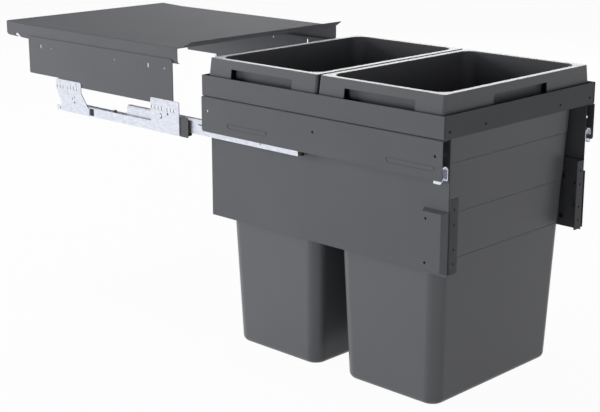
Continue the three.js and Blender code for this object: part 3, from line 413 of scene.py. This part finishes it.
def outsideRings(sizes):
    # outer wall with a groove at each stacking line, down to the rounded foot
    rings = [bodyRing(sizes, binForm["wall"])]
    grooveSteps = binForm["steps"]["groove"]
    for line in binForm["stackLines"]:
        for k in range(grooveSteps + 1):
            share = k / grooveSteps
            inset = binForm["grooveDepth"] * math.sin(math.pi * share) ** 2
            rings.append(bodyRing(sizes, line + binForm["grooveWidth"] * share, inset))
    foot = binForm["footRound"]
    for cos, sin in quarterArc(binForm["steps"]["outsideFoot"]):
        rings.append(bodyRing(sizes, sizes["height"] - foot * (1 - sin), foot * (1 - cos)))
    return rings


def slotBodies(sizes):
    # four blocks through the skirt, each as long as a finger slot
    halfSlot = binForm["slotLength"] / 2, binForm["slotHeight"] / 2
    level = sizes["top"] - binForm["slotDrop"] - halfSlot[1]
    inset = binForm["rimWidth"] - 2 * binForm["wall"]
    corner, steps = binForm["slotCorner"], binForm["steps"]["slotCorner"]
    sideSlot = roundedOutline((sizes["middle"], level), halfSlot, corner, steps)
    endSlot = roundedOutline((0, level), halfSlot, corner, steps)
    bodies = []
    for side in (1, -1):
        near = [side * (rim - inset) for rim in sizes["rim"]]
        far = [depth + side * binForm["slotReach"] for depth in near]
        bodies.append([[(x, y, z) for y, z in sideSlot] for x in (near[0], far[0])])
        bodies.append([[(x, sizes["middle"] + y, z) for x, z in endSlot] for y in (near[1], far[1])])
    return bodies


def settle(piece):
    # the modifiers' result becomes the mesh
    graph = bpy.context.evaluated_depsgraph_get()
    made = bpy.data.meshes.new_from_object(piece.evaluated_get(graph))
    piece.modifiers.clear()
    piece.data = made


def makeBin(node):
    place = node.split("_")[0]
    sizes = binSizes(node)
    rings = insideRings(sizes) + rimRings(sizes) + outsideRings(sizes)
    piece = addToScene(place + "BinMoulding", solidMesh(place + "Bin", [rings]))
    cutter = addToScene("slotCutter", solidMesh("slotCutter", slotBodies(sizes)))
    cut = piece.modifiers.new("slots", "BOOLEAN")
    cut.operation = "DIFFERENCE"
    cut.solver = "EXACT"
    cut.object = cutter
    settle(piece)
    bpy.data.objects.remove(cutter)
    shadeSmooth(piece.data)
    roundEdges(piece, binForm["edgeRound"], binForm["edgeAngle"])
    settle(piece)
    giveFinish(piece, "bin")
    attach(piece, bodyOf[node])
    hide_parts(node)


print("bins: moulding", len(binNodes))
for node in binNodes:
    makeBin(node)


# studio: pale floor, white surround, the main lamp behind the unit on its left

studio = {
    "floorTone": (0.72, 0.72, 0.72),
    "floorRough": 0.9,
    "floorDrop": 1 * mm,
    "floorSize": 30,
    "floorGlow": 0.96,  # how much of the floor's look is plain white, the rest takes the shadow
    "floorLight": 0.14,  # what the floor throws back up on the unit
    "ambient": 0.01,
    "aim": (0, -0.1, -0.15),
    "lamps": {  # the bright zinc mirrors only the lamps that are marked so
        "backLeft": {"place": (-1.78, 2.99, 0.35), "size": (1.6, 1.6), "power": 112, "mirrored": False},
        "lowLeft": {"place": (-3.60, -0.10, 0.05), "size": (0.9, 0.9), "power": 40, "mirrored": False},
        "front": {"place": (0.0, -3.67, 0.35), "size": (1.6, 1.6), "power": 18, "mirrored": False},
        "overhead": {"place": (0.0, 1.06, 3.05), "size": (1.1, 1.1), "power": 36, "mirrored": True},
        "rightRim": {"place": (2.80, 2.05, 0.90), "size": (2.0, 1.2), "power": 26, "mirrored": True},
        "right": {"place": (3.60, -0.10, 0.35), "size": (1.6, 1.6), "power": 26, "mirrored": False},
    },
}
white = (1, 1, 1, 1)


def seenOrMirrored(tree):
    # 1 where the camera, a mirror or a pane looks at the surround
    rays = addNode(tree, "ShaderNodeLightPath")
    seen = rays.outputs["Is Camera Ray"]
    for other in ("Is Glossy Ray", "Is Transmission Ray"):
        links = {0: seen, 1: rays.outputs[other]}
        seen = addNode(tree, "ShaderNodeMath", {}, links, operation="MAXIMUM").outputs[0]
    return seen


def makeFloor():
    half = studio["floorSize"] / 2
    mesh = bpy.data.meshes.new("floor")
    corners = [(-half, -half, 0), (half, -half, 0), (half, half, 0), (-half, half, 0)]
    mesh.from_pydata(corners, [], [(0, 1, 2, 3)])
    floor = addToScene("floor", mesh)
    floor.location.z = cadBox[0].z - studio["floorDrop"]
    material = bpy.data.materials.new("floor")
    material.use_nodes = True
    tree = material.node_tree
    shader = tree.nodes["Principled BSDF"]
    shader.inputs["Base Color"].default_value = (*studio["floorTone"], 1)
    shader.inputs["Roughness"].default_value = studio["floorRough"]
    shader.inputs["Specular IOR Level"].default_value = 0
    shader.inputs["Emission Color"].default_value = white
    shader.inputs["Emission Strength"].default_value = studio["floorLight"]
    glow = addNode(
        tree, "ShaderNodeMath", {1: studio["floorGlow"]}, {0: seenOrMirrored(tree)}, operation="MULTIPLY"
    )
    plain = addNode(tree, "ShaderNodeEmission", {"Color": white})
    sources = {0: glow.outputs[0], 1: shader.outputs[0], 2: plain.outputs[0]}
    mixed = addNode(tree, "ShaderNodeMixShader", {}, sources)
    tree.links.new(mixed.outputs[0], tree.nodes["Material Output"].inputs["Surface"])
    mesh.materials.append(material)


def makeWorld():
    # the surround is white where it is seen or mirrored, and a faint light on the unit
    world = bpy.data.worlds.new("studio")
    bpy.context.scene.world = world
    world.use_nodes = True
    tree = world.node_tree
    tree.nodes.clear()
    lighting = addNode(tree, "ShaderNodeBackground", {"Color": white, "Strength": studio["ambient"]})
    backdrop = addNode(tree, "ShaderNodeBackground", {"Color": white})
    sources = {0: seenOrMirrored(tree), 1: lighting.outputs[0], 2: backdrop.outputs[0]}
    mixed = addNode(tree, "ShaderNodeMixShader", {}, sources)
    addNode(tree, "ShaderNodeOutputWorld", {}, {"Surface": mixed.outputs[0]})


def makeLamp(name, lamp):
    data = bpy.data.lights.new(name, "AREA")
    data.shape = "RECTANGLE"
    data.size, data.size_y = lamp["size"]
    data.energy = lamp["power"]
    light = addToScene(name, data)
    light.location = lamp["place"]
    light.visible_glossy = lamp["mirrored"]
    lookAlong(light, Vector(studio["aim"]) - light.location)


print("studio: floor, surround and", len(studio["lamps"]), "lamps")
makeFloor()
makeWorld()
for name, lamp in studio["lamps"].items():
    makeLamp(name, lamp)
bpy.context.scene.view_settings.view_transform = "Standard"


# end of the scene

print("scene: built")
